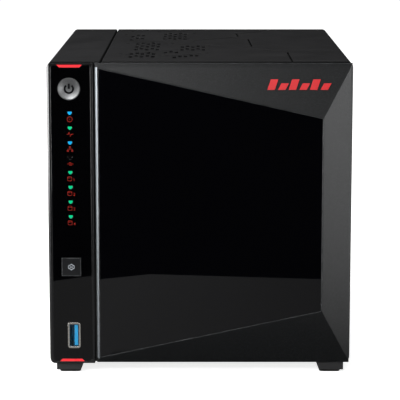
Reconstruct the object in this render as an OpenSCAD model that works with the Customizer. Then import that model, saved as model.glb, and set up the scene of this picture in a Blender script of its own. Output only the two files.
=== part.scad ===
// Four-bay desktop storage enclosure, built from its separate pieces.
// X runs to the right, Y to the back and Z up. The origin is on the floor under the middle.

/* [Case] */
// Width of the case
case_w = 174; // [172:1:240]
// Height of the case without its feet
case_h = 175; // [170:1:240]
// Depth of the two case shells
shell_d = 215; // [214:1:300]
// Wall of the case shells
wall = 2.4; // [1.8:0.1:3]
// Radius of the long outer edges of the case
corner_r = 3; // [2:0.5:6]
// Width of the left shell across the top and the bottom
left_shell_w = 30.4; // [28:0.1:34]
// Gap between the two shells at the seam
seam_gap = 0.6; // [0.3:0.1:1.2]
// Depth of the bevel along both sides of the seam
seam_bevel = 0.9; // [0.4:0.1:1.4]
// Height of the feet
foot_h = 6; // [4:0.5:12]

/* [Front] */
// Thickness of the bezel plate
bezel_t = 3; // [2.4:0.1:5]
// Width of the status column
column_w = 26.1; // [25:0.1:28]
// Distance that the status column stands in front of the bezel plate
column_proud = 4; // [3:0.5:6]
// Thickness of the glossy column panel
panel_t = 1.5; // [1:0.1:2]
// Diameter of the power button
power_d = 12.6; // [10:0.2:14]
// Width of the backup button
backup_w = 10.9; // [8:0.1:12]
// Height of the backup button
backup_h = 10.5; // [8:0.1:12]
// Travel of both buttons
button_travel = 1; // [0.5:0.1:1]
// Distance between two status lights
light_pitch = 8.55; // [7:0.05:9]

/* [Door] */
// Gap between the back of the door and the bezel plate
door_gap = 0.2; // [0.2:0.1:1]
// Thickness of the door at its outer ridge
door_edge_t = 3.5; // [3:0.1:5]
// Height of the proud edge of the glass above the ridge
door_rise = 8.3; // [5:0.1:12]
// Wall of the door frame behind its facets
door_wall = 2.5; // [2.5:0.1:3]
// Thickness of the glossy door panel
glass_t = 1.6; // [1:0.1:1.8]
// Diameter of the door and bezel magnets
magnet_d = 8; // [5:0.5:10]

/* [Drive bays] */
// Number of bays
bays = 4; // [1:1:4]
// Distance between two bays
bay_pitch = 33.5; // [33:0.1:34]
// Height of a drive that lies on its side
drive_h = 101.6; // [98:0.1:102]
// Thickness of a drive
drive_t = 26.1; // [20:0.1:26.1]
// Length of a drive
drive_l = 147; // [140:1:147]
// Clearance of a tray to its cage and of a drive to its tray
tray_clear = 0.4; // [0.3:0.1:0.6]
// Sheet thickness of the cage, the base plate and the rear panel
sheet_t = 1.2; // [0.8:0.1:1.5]
// Diameter of the handle pins
pin_d = 3; // [2:0.1:3]
// Radial running clearance of pins, stems and shafts
run_clear = 0.06; // [0.02:0.01:0.1]
// Travel of the tray latches
latch_travel = 1.5; // [1:0.1:1.6]

/* [Fan] */
// Side of the square fan frame
fan_side = 120; // [92:1:120]
// Depth of the fan frame
fan_depth = 25; // [20:1:25]
// Number of fan blades
fan_blades = 7; // [5:1:9]

/* [Hidden] */
$fn = 48;
shell_grey = [0.17, 0.17, 0.18];
bezel_black = [0.07, 0.07, 0.08];
gloss_black = [0.02, 0.02, 0.03];
steel_grey = [0.62, 0.64, 0.66];
board_green = [0.05, 0.2, 0.14];
accent_red = [0.95, 0.2, 0.22];
usb_blue = [0.1, 0.35, 0.85];
jack_black = [0.1, 0.1, 0.11];
rubber_black = [0.09, 0.09, 0.09];

// Planes of the case
total_d = shell_d + bezel_t + door_gap + door_edge_t + door_rise;
rear_y = total_d / 2;
front_y = -total_d / 2;
shell_y = rear_y - shell_d;
bezel_y = shell_y - bezel_t;
column_y = bezel_y - column_proud;
left_x = -case_w / 2;
right_x = case_w / 2;
bottom_z = foot_h;
top_z = foot_h + case_h;
seam_x = left_x + left_shell_w;
lap_w = 6;
lap_t = 1.2;
lip_t = 1.4;
lip_l = 4;
rear_inset = 2;
panel_y = rear_y - rear_inset - sheet_t;
base_z = bottom_z + wall;

// Drive cage
bay_w = bays * bay_pitch + 1;
arm_t = 4;
rib_h = 2.5;
rib_w = 6;
tray_h = drive_h + 2 * tray_clear - 0.2 + 2 * arm_t;
bay_h = tray_h + 2 * rib_h + 2 * tray_clear;
cage_side_gap = 2.4;
bay_x = right_x - wall - cage_side_gap - sheet_t - bay_w / 2;
bay_z = bottom_z + case_h / 2;
connector_room = 3.8;
face_y = bezel_y + 0.6;
face_d = 10;
cage_back_y = face_y + face_d + drive_l + connector_room;
face_w = bay_pitch - 1;
face_h = bay_h - 1;
face_rim = 3;
tub_d = 7;
tray_back_y = face_y + face_d + drive_l - 2;
arm_w = drive_t + 1.9;
handle_w = face_w - 2 * face_rim - 0.6;
handle_l = 84;
handle_front_y = face_y + 0.5;
handle_t = 5;
barrel_r = pin_d / 2 + 1.5;
hinge_y = handle_front_y + barrel_r;
hinge_z = bay_z - face_h / 2 + 9;
latch_h = face_h - 9 - handle_l - face_rim - 1.5;
latch_z = hinge_z + handle_l + 0.8;
stem_r = 2;

// Status column
column_x1 = left_x + column_w;
column_cx = left_x + 13;
panel_x0 = left_x + 2.3;
panel_x1 = left_x + 24.8;
panel_margin = 1.1;
panel_corner_r = 2;
column_chamfer = 1.2;
column_back_y = column_y + 4;
power_z = top_z - 14.8;
first_light_z = top_z - 28.7;
light_w = 2.1;
light_h = 1.6;
backup_z = bottom_z + 57.1;
usb_z = bottom_z + 16.7;
usb_x = left_x + 14.2;
usb_body = [6.1, 13.9];
usb_mouth = [7.3, 15.2];
usb_mouth_r = 1.5;
usb_l = 16;
front_board_y = shell_y + 4.5;
board_t = 1.6;
switch_h = 2;

// Door
door_x0 = column_x1 + 1.2;
door_x1 = right_x - 0.6;
door_z0 = bottom_z + 0.3;
door_z1 = top_z - 0.4;
door_back_y = bezel_y - door_gap;
ridge_y = door_back_y - door_edge_t;
side_y = ridge_y + 0.8;
ridge_x0 = door_x0 + 1.4;
ridge_x1 = door_x1 - 0.9;
ridge_z0 = door_z0 + 2.5;
ridge_z1 = door_z1 - 2.2;
peak_x = right_x - 17;
peak_z0 = bottom_z + 32.5;
peak_z1 = top_z - 30.5;
glass_angle = atan(door_rise / (peak_x - ridge_x0));
glass_w = (peak_x - ridge_x0) / cos(glass_angle);
glass_margin = 0.6;
magnet_t = 2;
door_magnet_t = 1.4;
magnet_inset = 14;

// Rear
board_x = left_x + 7;
board_z0 = base_z + 17;
board_z1 = top_z - 20;
board_y0 = -60;
fan_x = bay_x;
fan_z = bay_z;
fan_y = panel_y - fan_depth;
fan_bore_r = fan_side / 2 - 2;
fan_screw_pitch = fan_side - 15;
grille_rings = 6;
grille_r = 13;
ring_step = (fan_bore_r - grille_r - 8) / (grille_rings - 1);
ring_slot = ring_step - 2.2;
fan_hub_r = 19;
fan_shaft_r = 1.5;
lan_size = [13.5, 21, 16];
rear_usb_size = [6.1, 17, 13.9];
hdmi_size = [5.6, 12, 15];
dc_size = [11, 14, 9];
lan_zs = [bottom_z + 56, bottom_z + 76];
rear_usb_zs = [bottom_z + 98, bottom_z + 116];
hdmi_z = bottom_z + 136;
dc_z = bottom_z + 32;
port_out = 0.6;
port_gap = 0.3;

// ---------- shared shapes ----------

// Extrudes an outline drawn in X and Z from y0 back to y1
module along_y(y0, y1) {
  translate([0, y1, 0]) rotate([90, 0, 0]) linear_extrude(y1 - y0) children();
}

// A rod along Y
module rod_y(x, z, r, y0, y1) {
  translate([x, y1, z]) rotate([90, 0, 0]) cylinder(r = r, h = y1 - y0);
}

// A box given by its centre in X and Z and its two planes in Y
module block_y(x, z, w, h, y0, y1) {
  translate([x - w / 2, y0, z - h / 2]) cube([w, y1 - y0, h]);
}

// A rectangle with true round corners
module round_rect(w, h, r) {
  translate([r, 0]) square([w - 2 * r, h]);
  translate([0, r]) square([w, h - 2 * r]);
  for (x = [r, w - r], y = [r, h - r])
    translate([x, y]) circle(r);
}

// Outline of the case in X and Z, moved in by inset
module case_outline(inset = 0) {
  translate([left_x + inset, bottom_z + inset])
    round_rect(case_w - 2 * inset, case_h - 2 * inset, max(corner_r - inset, 0.5));
}

module shell_ring() {
  difference() {
    case_outline();
    case_outline(wall);
  }
}

// A V groove along both seams, cut to the same depth in both shells and the bezel
module seam_bevels(y0, y1) {
  for (z = [bottom_z, top_z])
    translate([seam_x, y0 - 1, z])
      rotate([0, 45, 0])
        translate([-seam_bevel * sqrt(0.5), 0, -seam_bevel * sqrt(0.5)])
          cube([seam_bevel * sqrt(2), y1 - y0 + 2, seam_bevel * sqrt(2)]);
}

// ---------- case ----------

// Places of the rear panel screws in X and Z, the first two on the left shell
boss = 8;
screw_places = [
  [left_x + wall + boss / 2, bottom_z + 14], [left_x + wall + boss / 2, top_z - 12],
  [right_x - wall - boss / 2, bottom_z + 12], [right_x - wall - boss / 2, top_z - 12]];
boss_l = 12;
screw_r = 1.5;

module screw_boss(place) {
  difference() {
    block_y(place[0], place[1], boss, boss, panel_y - boss_l, panel_y);
    rod_y(place[0], place[1], screw_r, panel_y - boss_l + 2, panel_y + 1);
  }
}

module left_shell() {
  color(shell_grey) difference() {
    union() {
      along_y(shell_y, rear_y) intersection() {
        shell_ring();
        translate([left_x, bottom_z]) square([left_shell_w - seam_gap / 2, case_h]);
      }
      for (z = [base_z, top_z - wall - lap_t])
        translate([seam_x - lap_w / 2, shell_y + lip_l + 1, z])
          cube([lap_w, shell_d - lip_l - 1 - rear_inset - sheet_t, lap_t]);
      for (i = [0, 1])
        screw_boss(screw_places[i]);
    }
    seam_bevels(shell_y, rear_y);
    side_vents();
  }
}

// Slanted slots low on the left side, where the main board takes its air
module side_vents() {
  for (i = [0:7])
    translate([left_x - 1, shell_y + 60 + 9 * i, bottom_z + 22])
      rotate([-20, 0, 0])
        cube([wall + 2, 3, 22]);
}

// One block of top slots: columns beside each other, every second column set back by half a row
module slot_block(x0, y0, columns, rows, row_pitch, rise = 0) {
  column_pitch = 3.25;
  slot_w = 2;
  slot_l = 10;
  for (c = [0:columns - 1], r = [0:rows - 1]) {
    back = r * row_pitch + c * rise + (c % 2) * row_pitch / 3;
    translate([x0 + c * column_pitch - slot_w / 2, y0 + back - slot_l / 2, top_z - wall - 1])
      cube([slot_w, slot_l, wall + 2]);
  }
}

// A shallow groove in the top face from point a to point b
module top_groove(a, b, w = 1, depth = 0.8) {
  run = b - a;
  translate([a[0], a[1], top_z - depth])
    rotate([0, 0, atan2(run[1], run[0])])
      translate([-w / 2, -w / 2, 0])
        cube([norm(run) + w, w, depth + 1]);
}

module top_path(points) {
  for (i = [0:len(points) - 2])
    top_groove(points[i], points[i + 1]);
}

// A twelve-sided dimple where a groove or a block of slots ends
module top_dot(p) {
  translate([p[0], p[1], top_z - 1]) cylinder(r = 1.3, h = 2, $fn = 12);
}

// Ventilation pattern, placed from the seam and from the front edge of the case
vent_x = seam_x + 11;
vent_y = shell_y;
module top_pattern() {
  translate([vent_x, vent_y, 0]) {
    slot_block(1.8, 136, 3, 2, 22, 4);
    slot_block(22.9, 142, 5, 3, 17);
    slot_block(6.8, 71, 5, 3, 18);
    slot_block(34.8, 70, 5, 2, 17);
    slot_block(5.1, 28, 5, 2, 16, 0);
    slot_block(25, 53, 3, 1, 16);
    slot_block(30.7, 24, 5, 1, 9, 2.5);
    top_path([[0, 177], [11.1, 177]]);
    top_path([[21.6, 190], [38.5, 179]]);
    top_path([[4.1, 112], [32.3, 134], [38.7, 144]]);
    top_path([[32, 103], [48.4, 97]]);
    top_path([[2, 42], [19, 58]]);
    top_path([[23.2, 63], [31.9, 71]]);
    top_path([[-0.6, 27], [14.1, 16], [30.1, 8]]);
    top_path([[29.2, 33], [46.6, 45]]);
    top_path([[42.3, 131], [66, 150.5], [69.6, 145], [76.7, 138], [77.7, 91]]);
    top_path([[70, 180], [86.9, 195.5]]);
    top_path([[70, 180], [70.5, 159]]);
    top_path([[42.6, 111], [73.1, 84], [93.6, 58], [97.8, 53], [98.2, 0]]);
    for (p = [[0, 195.5], [-3.2, 173.5], [0.5, 109], [-1.3, 45], [10.3, 207], [14.2, 209],
      [18.2, 194], [24.8, 108.5], [28.7, 108.5], [22.3, 33], [26.2, 33], [41.9, 180],
      [41.7, 121], [51.5, 94], [49.7, 49], [70, 180], [76.7, 138], [97.8, 53]])
      top_dot(p);
  }
}

// Intake slots in the floor of the case, below the cage
module floor_vents() {
  for (i = [0:9], row = [0, 1])
    translate([bay_x - 52 + 11 * i, -50 + 70 * row, bottom_z - 1])
      cube([4, 50, wall + 2]);
}

module right_shell() {
  color(shell_grey) difference() {
    union() {
      along_y(shell_y, rear_y) intersection() {
        shell_ring();
        translate([seam_x + seam_gap / 2, bottom_z])
          square([case_w - left_shell_w - seam_gap / 2, case_h]);
      }
      for (i = [2, 3])
        screw_boss(screw_places[i]);
    }
    seam_bevels(shell_y, rear_y);
    top_pattern();
    floor_vents();
  }
}

// Steel base with a side wall that carries the main board
side_wall_h = case_h - 2 * wall - 14;
module base_plate() {
  base_y0 = shell_y + lip_l + 1;
  color(steel_grey) difference() {
    union() {
      translate([left_x + wall + 0.2, base_y0, base_z + lap_t])
        cube([case_w - 2 * wall - 0.4, panel_y - base_y0, sheet_t]);
      translate([left_x + wall + 0.2, board_y0 - 6, base_z + lap_t])
        cube([sheet_t, panel_y - boss_l - 1 - (board_y0 - 6), side_wall_h]);
    }
    for (i = [0:9])
      translate([bay_x - 52 + 11 * i, -50, base_z])
        cube([4, 120, 4]);
    for (place = screw_places)
      block_y(place[0], place[1], boss + 1, boss + 1, panel_y - boss_l - 1, panel_y + 1);
  }
}

// Steel cage with guides for the trays on its floor and its ceiling
module drive_cage() {
  x0 = bay_x - bay_w / 2;
  z0 = bay_z - bay_h / 2;
  foot_z = base_z + lap_t + sheet_t;
  color(steel_grey) difference() {
    union() {
      for (x = [x0 - sheet_t, x0 + bay_w])
        translate([x, shell_y, foot_z])
          cube([sheet_t, cage_back_y - shell_y, z0 + bay_h + sheet_t - foot_z]);
      for (z = [z0 - sheet_t, z0 + bay_h])
        translate([x0 - sheet_t, shell_y, z])
          cube([bay_w + 2 * sheet_t, cage_back_y - shell_y, sheet_t]);
      for (i = [0:bays - 1], side = [-1, 1], top = [0, 1])
        translate([bay_cx(i) + side * (rib_w / 2 + tray_clear + 1) - 1, shell_y + 14,
          top == 0 ? z0 : z0 + bay_h - rib_h + 0.5])
          cube([2, cage_back_y - shell_y - 20, rib_h - 0.5]);
    }
    for (i = [0:bays - 1], y = [0, 1])
      translate([bay_cx(i) - 15, shell_y + 24 + 62 * y, z0 - sheet_t - 1])
        cube([8, 50, bay_h + 2 * sheet_t + 2]);
    for (y = [0, 1], z = [0, 1])
      translate([x0 - sheet_t - 1, shell_y + 28 + 60 * y, z0 + 14 + 48 * z])
        cube([bay_w + 2 * sheet_t + 2, 44, 36]);
  }
}

function bay_cx(i) = bay_x + (i - (bays - 1) / 2) * bay_pitch;

// ---------- feet ----------

foot_w = 15.8;
foot_l = 16;
foot_x = left_x + 3.7;
foot_y = shell_y - 5;
pad_h = 2.8;
pad_out = 1.6;
pad_w = 12;

// Runs its children at the four corners; they are drawn for the front left foot
module at_each_foot() {
  for (side = [0, 1], back = [0, 1])
    mirror([side, 0, 0])
      translate([0, back == 0 ? foot_y : rear_y - 8 - foot_l, 0])
        children();
}

module foot_pad() {
  translate([foot_x + 1.7, (foot_l - pad_w) / 2, 0])
    linear_extrude(pad_h) round_rect(pad_w, pad_w, 2);
}

module foot_brackets() {
  color(bezel_black) at_each_foot() difference() {
    translate([foot_x, foot_l, 0])
      rotate([90, 0, 0])
        linear_extrude(foot_l)
          polygon([[0, pad_out], [0, foot_h], [foot_w, foot_h], [foot_w - 1.7, pad_out]]);
    foot_pad();
  }
}

module foot_pads() {
  color(rubber_black) at_each_foot() foot_pad();
}

// ---------- bezel and status column ----------

module light_shape(z, grow = 0) {
  translate([column_cx, z])
    polygon([[-light_w / 2 - grow, light_h / 2 + grow], [light_w / 2 + grow, light_h / 2 + grow],
      [light_w / 2 + grow, 0], [light_w / 5 + grow, -light_h / 2 - grow],
      [-light_w / 5 - grow, -light_h / 2 - grow], [-light_w / 2 - grow, 0]]);
}

// A light pipe with a flange that rests behind the column's wall
module light_pipe(i) {
  z = first_light_z - i * light_pitch;
  along_y(column_y, column_back_y + 1) light_shape(z);
  along_y(column_back_y, column_back_y + 0.8) light_shape(z, 0.8);
}

module light_holes(y0, y1) {
  for (i = [0:7])
    along_y(y0, y1) light_shape(first_light_z - i * light_pitch, 0.1);
}

// Outline of a red accent on the column's top or bottom edge, wide towards the case's edge
module accent_shape(at_top) {
  wide = 7.2;
  narrow = 5.7;
  tall = 1.5;
  low = at_top ? top_z - panel_margin - tall : bottom_z + panel_margin;
  high = low + tall;
  low_half = at_top ? narrow : wide;
  high_half = at_top ? wide : narrow;
  translate([column_cx, 0])
    polygon([[-low_half, low], [low_half, low], [high_half, high], [-high_half, high]]);
}

module red_accents() {
  color(accent_red)
    for (at_top = [true, false])
      along_y(column_y, column_y + panel_t) accent_shape(at_top);
}

module panel_outline(grow = 0) {
  translate([panel_x0 - grow, bottom_z + panel_margin - grow])
    round_rect(panel_x1 - panel_x0 + 2 * grow, case_h - 2 * panel_margin + 2 * grow,
      panel_corner_r);
}

// Cuts the chamfer along the column's outer front edge
module column_side_chamfer() {
  c = column_chamfer;
  translate([left_x, column_y, bottom_z - 1])
    linear_extrude(case_h + 2)
      polygon([[-1, -1], [c + 1, -1], [-1, c + 1]]);
}

button_gap = 0.2;
flange_t = 1;
flange_out = 1;

module column_panel() {
  color(gloss_black) difference() {
    along_y(column_y, column_y + panel_t) panel_outline();
    for (at_top = [true, false])
      along_y(column_y - 1, column_y + 3) accent_shape(at_top);
    rod_y(column_cx - 0.3, power_z, power_d / 2 + button_gap, column_y - 1, column_y + 3);
    block_y(column_cx, backup_z, backup_w + 2 * button_gap, backup_h + 2 * button_gap,
      column_y - 1, column_y + 3);
    block_y(usb_x, usb_z, usb_body[0] + 0.2, usb_body[1] + 0.2, column_y - 1, column_y + 3);
    light_holes(column_y - 1, column_y + 3);
  }
}

magnet_places = [for (x = [door_x0 + magnet_inset - 2, door_x1 - magnet_inset + 5],
  z = [bottom_z + magnet_inset, top_z - magnet_inset]) [x, z]];

// Room behind the column's front wall for the button flanges
button_room = button_travel + flange_t + 0.4;
post_r = 2.2;
front_screw_places = [for (x = [left_x + wall + post_r + 0.4, column_cx + 8],
  z = [bottom_z + 36, top_z - 24]) [x, z]];

module front_bezel() {
  hollow_x0 = left_x + wall + lip_t + 0.6;
  color(bezel_black) difference() {
    union() {
      difference() {
        union() {
          along_y(bezel_y, shell_y) case_outline();
          along_y(column_y, bezel_y) intersection() {
            case_outline();
            translate([left_x, bottom_z]) square([column_w, case_h]);
          }
        }
        translate([hollow_x0, column_back_y, bottom_z + 6])
          cube([column_x1 - 2 - hollow_x0, 10, case_h - 12]);
      }
      along_y(shell_y, shell_y + lip_l) difference() {
        case_outline(wall);
        case_outline(wall + lip_t);
      }
      rod_y(column_cx - 0.3, power_z, power_d / 2 + 3, column_y + 2, shell_y);
      block_y(column_cx, backup_z, backup_w + 6, backup_h + 6, column_y + 2, shell_y);
      for (p = front_screw_places)
        rod_y(p[0], p[1], post_r, column_y + 2, front_board_y);
    }
    block_y(bay_x, bay_z, bay_w, bay_h, bezel_y - 1, shell_y + 10);
    along_y(column_y - 1, column_y + panel_t) panel_outline();
    column_side_chamfer();
    rod_y(column_cx - 0.3, power_z, power_d / 2 + flange_out + 0.3,
      column_y, column_y + panel_t + button_room);
    rod_y(column_cx - 0.3, power_z, stem_r + run_clear, column_y, shell_y + 1);
    block_y(column_cx, backup_z, backup_w + 2 * flange_out + 0.6, backup_h + 2 * flange_out + 0.6,
      column_y, column_y + panel_t + button_room);
    rod_y(column_cx, backup_z, stem_r + run_clear, column_y, shell_y + 1);
    block_y(usb_x, usb_z, usb_body[0] + 0.2, usb_body[1] + 0.2, column_y - 1, shell_y + 1);
    light_holes(column_y, shell_y + 1);
    for (p = magnet_places)
      rod_y(p[0], p[1], magnet_d / 2, bezel_y - 1, bezel_y + magnet_t);
    seam_bevels(bezel_y, shell_y + lip_l);
  }
}

// From the top the lights are blue, green, blue, unlit and then one green for each bay
module blue_led_lenses() {
  color([0.2, 0.55, 1]) for (i = [0, 2]) light_pipe(i);
}

module green_led_lenses() {
  color([0.1, 0.9, 0.45]) for (i = [1, 4, 5, 6, 7]) light_pipe(i);
}

module unlit_led_lens() {
  color([0.2, 0.22, 0.24]) light_pipe(3);
}

module front_usb_shell() {
  color(steel_grey) difference() {
    union() {
      along_y(column_y - 0.4, column_y)
        translate([usb_x - usb_mouth[0] / 2, usb_z - usb_mouth[1] / 2])
          round_rect(usb_mouth[0], usb_mouth[1], usb_mouth_r);
      block_y(usb_x, usb_z, usb_body[0], usb_body[1], column_y, column_y + usb_l);
    }
    block_y(usb_x, usb_z, usb_body[0] - 0.8, usb_body[1] - 0.8, column_y - 1, column_y + usb_l - 0.5);
  }
}

module front_usb_tongue() {
  cavity_w = usb_body[0] - 0.8;
  color(usb_blue) {
    block_y(usb_x + 1.15, usb_z, 2, 12, column_y + 0.4, column_y + usb_l - 2.5);
    block_y(usb_x, usb_z, cavity_w, usb_body[1] - 0.8, column_y + usb_l - 2.5, column_y + usb_l - 0.5);
  }
}

module front_board() {
  z0 = bottom_z + 6;
  color(board_green) difference() {
    union() {
      translate([column_cx - 9, front_board_y, z0]) cube([19, board_t, case_h - 18]);
      for (i = [0:7])
        block_y(column_cx, first_light_z - i * light_pitch, 2, 1.2, front_board_y - 0.8, front_board_y);
      block_y(column_cx, bottom_z + 45, 14, 5, front_board_y + board_t, front_board_y + board_t + 3);
    }
    block_y(usb_x, usb_z, usb_body[0] + 0.6, usb_body[1] + 0.6, front_board_y - 2, front_board_y + 5);
  }
}

// Two tact switches on the front board, one behind each button's stem
module front_switches() {
  color(jack_black) for (p = [[column_cx - 0.3, power_z], [column_cx, backup_z]]) {
    block_y(p[0], p[1], 6, 6, front_board_y - switch_h, front_board_y);
    rod_y(p[0], p[1], 1.7, front_board_y - switch_h - 0.4, front_board_y - switch_h);
  }
}

module bezel_magnets() {
  color(steel_grey) for (p = magnet_places)
    rod_y(p[0], p[1], magnet_d / 2, bezel_y, bezel_y + magnet_t);
}

// End of the button stems, just clear of the switches when pressed
stem_end_y = front_board_y - switch_h - 0.4 - button_travel - 0.2;
dish_r = 22;
button_out = 0.3;

module power_button() {
  color(steel_grey) difference() {
    union() {
      rod_y(column_cx - 0.3, power_z, power_d / 2, column_y - button_out, column_y + panel_t + 0.1);
      rod_y(column_cx - 0.3, power_z, power_d / 2 + flange_out,
        column_y + panel_t + 0.1, column_y + panel_t + 0.1 + flange_t);
      rod_y(column_cx - 0.3, power_z, stem_r, column_y + panel_t, stem_end_y);
    }
    translate([column_cx - 0.3, column_y - button_out + 0.8 - dish_r, power_z]) sphere(r = dish_r);
  }
}

module backup_button() {
  color(bezel_black) {
    block_y(column_cx, backup_z, backup_w, backup_h, column_y - button_out, column_y + panel_t + 0.1);
    block_y(column_cx, backup_z, backup_w + 2 * flange_out, backup_h + 2 * flange_out,
      column_y + panel_t + 0.1, column_y + panel_t + 0.1 + flange_t);
    rod_y(column_cx, backup_z, stem_r, column_y + panel_t, stem_end_y);
  }
}

// ---------- electronics ----------

module main_board() {
  y1 = panel_y - 1;
  color(board_green) {
    translate([board_x, board_y0, board_z0]) cube([board_t, y1 - board_y0, board_z1 - board_z0]);
    translate([board_x + board_t, board_y0 + 8, board_z0 + 20]) cube([4, 10, 60]);
    translate([board_x + board_t, board_y0 + 60, board_z1 - 30]) cube([9, 28, 6]);
  }
}

module board_standoffs() {
  wall_x = left_x + wall + 0.2 + sheet_t;
  color("goldenrod")
    for (y = [board_y0 + 6, 20, 90], z = [board_z0 + 6, board_z1 - 6])
      translate([wall_x, y, z]) rotate([0, 90, 0]) cylinder(d = 5, h = board_x - wall_x, $fn = 6);
}

module heatsink() {
  x0 = board_x + board_t;
  color(steel_grey) translate([x0, -20, board_z0 + 58]) {
    cube([3, 40, 44]);
    for (i = [0:9])
      translate([0, 0.6 + 4.2 * i, 0]) cube([15, 1.2, 44]);
  }
}

module memory_module() {
  x0 = board_x + board_t;
  color(board_green) translate([x0, -24, board_z0 + 10]) {
    cube([7, 70, 3]);
    translate([2, 1, 3]) cube([1.2, 68, 30]);
    for (i = [0:3])
      translate([3.2, 5 + 16 * i, 12]) cube([1.2, 11, 12]);
  }
}

// X centre of a port of this thickness that sits on the main board
function port_x(thickness) = board_x + board_t + thickness / 2;

module port_block(size, z, grow = 0) {
  block_y(port_x(size[0]), z, size[0] + grow, size[2] + grow,
    panel_y + sheet_t + port_out - size[1], panel_y + sheet_t + port_out);
}

module lan_jacks() {
  mouth_y = panel_y + sheet_t + port_out;
  color(steel_grey) for (z = lan_zs) difference() {
    port_block(lan_size, z);
    block_y(port_x(lan_size[0]) - 0.5, z, 8.5, 12, mouth_y - 15, mouth_y + 1);
    block_y(port_x(lan_size[0]) + 4.5, z, 2.5, 5, mouth_y - 15, mouth_y + 1);
  }
}

module rear_usb_shells() {
  mouth_y = panel_y + sheet_t + port_out;
  color(steel_grey) for (z = rear_usb_zs) difference() {
    port_block(rear_usb_size, z);
    block_y(port_x(rear_usb_size[0]), z, rear_usb_size[0] - 0.8, rear_usb_size[2] - 0.8,
      mouth_y - rear_usb_size[1] + 1, mouth_y + 1);
  }
}

module rear_usb_tongues() {
  mouth_y = panel_y + sheet_t + port_out;
  back_y = mouth_y - rear_usb_size[1] + 1;
  color(usb_blue) for (z = rear_usb_zs) {
    block_y(port_x(rear_usb_size[0]) + 1.15, z, 2, 12, back_y + 2, mouth_y - 0.8);
    block_y(port_x(rear_usb_size[0]), z, rear_usb_size[0] - 0.8, rear_usb_size[2] - 0.8,
      back_y, back_y + 2);
  }
}

module hdmi_port() {
  mouth_y = panel_y + sheet_t + port_out;
  x = port_x(hdmi_size[0]);
  color(steel_grey) {
    difference() {
      port_block(hdmi_size, hdmi_z);
      block_y(x, hdmi_z, hdmi_size[0] - 0.8, hdmi_size[2] - 0.8, mouth_y - 10, mouth_y + 1);
    }
    block_y(x, hdmi_z, 1.2, 11, mouth_y - 10, mouth_y - 1.5);
  }
}

dc_barrel_r = 3.2;
module dc_jack() {
  mouth_y = panel_y + sheet_t + port_out;
  color(jack_black) {
    difference() {
      port_block(dc_size, dc_z);
      rod_y(port_x(dc_size[0]), dc_z, dc_barrel_r, mouth_y - 10, mouth_y + 1);
    }
    rod_y(port_x(dc_size[0]), dc_z, 1.25, mouth_y - 11, mouth_y - 1);
  }
}

module backplane() {
  color(board_green) difference() {
    block_y(bay_x, bay_z, bay_w, bay_h, cage_back_y, cage_back_y + board_t);
    for (i = [0:bays - 1], z = [-1, 1])
      block_y(bay_cx(i), bay_z + z * 41, 20, 28, cage_back_y - 1, cage_back_y + 5);
  }
}

module drive_connectors() {
  color(jack_black) for (i = [0:bays - 1])
    block_y(bay_cx(i) - 8, bay_z, 5, 42, cage_back_y - 7, cage_back_y);
}

// ---------- rear panel and fan ----------

module port_cutout(size, z) {
  block_y(port_x(size[0]), z, size[0] + 2 * port_gap, size[2] + 2 * port_gap,
    panel_y - 1, panel_y + sheet_t + 1);
}

// One ring of the fan grille, cut by four spokes
module grille_ring(r0, r1) {
  difference() {
    rod_y(fan_x, fan_z, r1, panel_y - 1, panel_y + sheet_t + 1);
    rod_y(fan_x, fan_z, r0, panel_y - 2, panel_y + sheet_t + 2);
    for (a = [0, 90])
      translate([fan_x, panel_y, fan_z])
        rotate([0, 45 + a, 0])
          cube([fan_side, 10, 5], center = true);
  }
}

lock_x = left_x + 12;
lock_z = bottom_z + 14;

module rear_panel() {
  fit = 0.2;
  color(steel_grey) difference() {
    along_y(panel_y, panel_y + sheet_t) case_outline(wall + fit);
    for (i = [0:grille_rings - 1])
      grille_ring(grille_r + ring_step * i, grille_r + ring_step * i + ring_slot);
    for (z = lan_zs) port_cutout(lan_size, z);
    for (z = rear_usb_zs) port_cutout(rear_usb_size, z);
    port_cutout(hdmi_size, hdmi_z);
    port_cutout(dc_size, dc_z);
    for (p = screw_places)
      rod_y(p[0], p[1], screw_r + 0.2, panel_y - 1, panel_y + sheet_t + 1);
    for (x = [-1, 1], z = [-1, 1])
      rod_y(fan_x + x * fan_screw_pitch / 2, fan_z + z * fan_screw_pitch / 2, 2.4,
        panel_y - 1, panel_y + sheet_t + 1);
    for (i = [0:8])
      block_y(fan_x - 48 + 12 * i, top_z - 15, 5, 11, panel_y - 1, panel_y + sheet_t + 1);
    block_y(lock_x + 7, lock_z, 7, 3, panel_y - 1, panel_y + sheet_t + 1);
  }
}

// A screw with a low round head that rests on the outside of the rear panel
module panel_screw(x, z, r, l, head_r) {
  head_y = panel_y + sheet_t;
  rod_y(x, z, r, head_y - l, head_y);
  difference() {
    rod_y(x, z, head_r, head_y, head_y + 1.6);
    for (a = [0, 90])
      translate([x, head_y + 1.6, z]) rotate([0, a, 0]) cube([head_r, 1.6, 0.8], center = true);
  }
}

module rear_screws() {
  color(steel_grey) for (p = screw_places)
    panel_screw(p[0], p[1], screw_r, sheet_t + 8, 2.8);
}

module fan_screws() {
  color(steel_grey) for (x = [-1, 1], z = [-1, 1])
    panel_screw(fan_x + x * fan_screw_pitch / 2, fan_z + z * fan_screw_pitch / 2, 2.1, 11, 3.8);
}

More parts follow.
